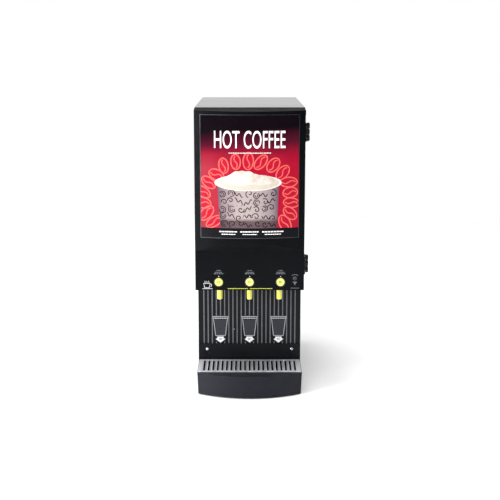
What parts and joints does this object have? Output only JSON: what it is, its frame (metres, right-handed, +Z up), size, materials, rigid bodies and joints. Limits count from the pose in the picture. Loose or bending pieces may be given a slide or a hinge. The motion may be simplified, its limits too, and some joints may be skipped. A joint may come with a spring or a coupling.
{
  "type": "hot drink vending machine",
  "caption": "Countertop hot coffee dispenser: bowed lit door with push buttons, nozzles over a slotted drip tray, powder hoppers, whippers and a hot water tank inside.",
  "frame": {"origin": "middle of the bounding box's bottom face, on the counter", "axes": "+Z up, the customer's side faces -Y, the door hinges are on +X"},
  "size_m": [0.305, 0.548, 0.793],
  "materials": {
    "black_paint": "semi-gloss powder coat",
    "zinc_steel": "zinc plated sheet",
    "black_panel": "satin printed sheet",
    "black_plastic": "fine moulded grain",
    "lit_graphic": "backlit translucent print",
    "white_liner": "white enamel reflector",
    "lamp_glass": "frosted tube",
    "hinge_black": "black enamel",
    "yellow_plastic": "moulded, semi-gloss",
    "switch_metal": "polished",
    "clear_plastic": "translucent moulding",
    "white_plastic": "moulded",
    "motor_black": "satin",
    "stainless": "brushed stainless",
    "brass": "machined",
    "board_green": "solder-masked board",
    "grey_plastic": "satin moulding",
    "rubber": "matt"
  },
  "bodies": {
    "cabinet": {"cabinet_shell": "black_paint", "base_pan": "zinc_steel", "top_lid": "black_paint", "inner_chassis": "zinc_steel", "nozzle_deck": "black_paint", "splash_panel": "black_panel", "foot_front_left": "rubber", "foot_front_right": "rubber", "foot_rear_left": "rubber", "foot_rear_right": "rubber", "water_tank": "stainless", "heater_cover": "stainless", "valve_bank": "brass", "inlet_valve": "brass", "control_board": "board_green", "fan_frame": "black_plastic", "cord_gland": "black_plastic", "shoulder_screw_left": "stainless", "shoulder_screw_right": "stainless", "hinge_cabinet_leaf_upper": "hinge_black", "hinge_cabinet_leaf_lower": "hinge_black", "nozzle_1": "yellow_plastic", "auger_motor_1": "motor_black", "mixing_bowl_1": "white_plastic", "whipper_motor_1": "motor_black", "nozzle_2": "yellow_plastic", "auger_motor_2": "motor_black", "mixing_bowl_2": "white_plastic", "whipper_motor_2": "motor_black", "nozzle_3": "yellow_plastic", "auger_motor_3": "motor_black", "mixing_bowl_3": "white_plastic", "whipper_motor_3": "motor_black"},
    "door": {"door_shell": "black_plastic", "door_window": "lit_graphic", "door_liner": "white_liner", "lamp_tube": "lamp_glass", "hinge_door_leaf_upper": "hinge_black", "hinge_door_leaf_lower": "hinge_black"},
    "selector": {"selector_switch": "switch_metal"},
    "fan": {"fan_rotor": "black_plastic"},
    "rocker": {"power_rocker": "black_plastic"},
    "tray_hanger": {"drip_tray_bracket": "black_paint"},
    "tray": {"drip_tray": "grey_plastic"},
    "grille": {"drip_grille": "stainless"},
    "button_1": {"dispense_button_1": "yellow_plastic"},
    "hopper_1": {"hopper_1": "clear_plastic"},
    "hopper_lid_1": {"hopper_lid_1": "black_plastic"},
    "auger_1": {"auger_1": "white_plastic"},
    "impeller_1": {"whipper_impeller_1": "white_plastic"},
    "button_2": {"dispense_button_2": "yellow_plastic"},
    "hopper_2": {"hopper_2": "clear_plastic"},
    "hopper_lid_2": {"hopper_lid_2": "black_plastic"},
    "auger_2": {"auger_2": "white_plastic"},
    "impeller_2": {"whipper_impeller_2": "white_plastic"},
    "button_3": {"dispense_button_3": "yellow_plastic"},
    "hopper_3": {"hopper_3": "clear_plastic"},
    "hopper_lid_3": {"hopper_lid_3": "black_plastic"},
    "auger_3": {"auger_3": "white_plastic"},
    "impeller_3": {"whipper_impeller_3": "white_plastic"}
  },
  "joints": [
    {"name": "door_hinge", "type": "hinge", "parent": "cabinet", "child": "door", "pos_m": [0.1475, -0.219, 0.55], "axis": [0, 0, 1], "range_deg": [0, 110]},
    {"name": "button_1_press", "type": "slide", "parent": "door", "child": "button_1", "axis": [0, 1, 0], "range_m": [0, 0.003], "stiffness_N_per_m": 800, "springref_m": -0.001},
    {"name": "button_2_press", "type": "slide", "parent": "door", "child": "button_2", "axis": [0, 1, 0], "range_m": [0, 0.003], "stiffness_N_per_m": 800, "springref_m": -0.001},
    {"name": "button_3_press", "type": "slide", "parent": "door", "child": "button_3", "axis": [0, 1, 0], "range_m": [0, 0.003], "stiffness_N_per_m": 800, "springref_m": -0.001},
    {"name": "selector_turn", "type": "hinge", "parent": "door", "child": "selector", "pos_m": [0.115, -0.252, 0.338], "axis": [0, 1, 0], "range_deg": [0, 90]},
    {"name": "hopper_1_pull", "type": "slide", "parent": "cabinet", "child": "hopper_1", "axis": [0, -1, 0], "range_m": [0, 0.03]},
    {"name": "hopper_lid_1_lift", "type": "slide", "parent": "hopper_1", "child": "hopper_lid_1", "axis": [0, 0, 1], "range_m": [0, 0.022]},
    {"name": "auger_1_spin", "type": "hinge", "parent": "hopper_1", "child": "auger_1", "pos_m": [-0.0895, -0.072, 0.5183], "axis": [0, 1, 0], "continuous": true},
    {"name": "impeller_1_spin", "type": "hinge", "parent": "cabinet", "child": "impeller_1", "pos_m": [-0.0895, -0.142, 0.39], "axis": [0, 1, 0], "continuous": true},
    {"name": "hopper_2_pull", "type": "slide", "parent": "cabinet", "child": "hopper_2", "axis": [0, -1, 0], "range_m": [0, 0.03]},
    {"name": "hopper_lid_2_lift", "type": "slide", "parent": "hopper_2", "child": "hopper_lid_2", "axis": [0, 0, 1], "range_m": [0, 0.022]},
    {"name": "auger_2_spin", "type": "hinge", "parent": "hopper_2", "child": "auger_2", "pos_m": [-0.0065, -0.072, 0.5183], "axis": [0, 1, 0], "continuous": true},
    {"name": "impeller_2_spin", "type": "hinge", "parent": "cabinet", "child": "impeller_2", "pos_m": [-0.0065, -0.142, 0.39], "axis": [0, 1, 0], "continuous": true},
    {"name": "hopper_3_pull", "type": "slide", "parent": "cabinet", "child": "hopper_3", "axis": [0, -1, 0], "range_m": [0, 0.03]},
    {"name": "hopper_lid_3_lift", "type": "slide", "parent": "hopper_3", "child": "hopper_lid_3", "axis": [0, 0, 1], "range_m": [0, 0.022]},
    {"name": "auger_3_spin", "type": "hinge", "parent": "hopper_3", "child": "auger_3", "pos_m": [0.0765, -0.072, 0.5183], "axis": [0, 1, 0], "continuous": true},
    {"name": "impeller_3_spin", "type": "hinge", "parent": "cabinet", "child": "impeller_3", "pos_m": [0.0765, -0.142, 0.39], "axis": [0, 1, 0], "continuous": true},
    {"name": "fan_spin", "type": "hinge", "parent": "cabinet", "child": "fan", "pos_m": [-0.0065, 0.243, 0.69], "axis": [0, 1, 0], "continuous": true},
    {"name": "power_rocker_tilt", "type": "hinge", "parent": "cabinet", "child": "rocker", "pos_m": [-0.0865, 0.26, 0.115], "axis": [1, 0, 0], "range_deg": [0, 16]},
    {"name": "tray_hanger_lift", "type": "slide", "parent": "cabinet", "child": "tray_hanger", "axis": [0, 0, 1], "range_m": [0, 0.0105]},
    {"name": "tray_pull", "type": "slide", "parent": "tray_hanger", "child": "tray", "axis": [0, -1, 0], "range_m": [0, 0.1]},
    {"name": "grille_lift", "type": "slide", "parent": "tray", "child": "grille", "axis": [0, 0, 1], "range_m": [0, 0.08]}
  ]
}
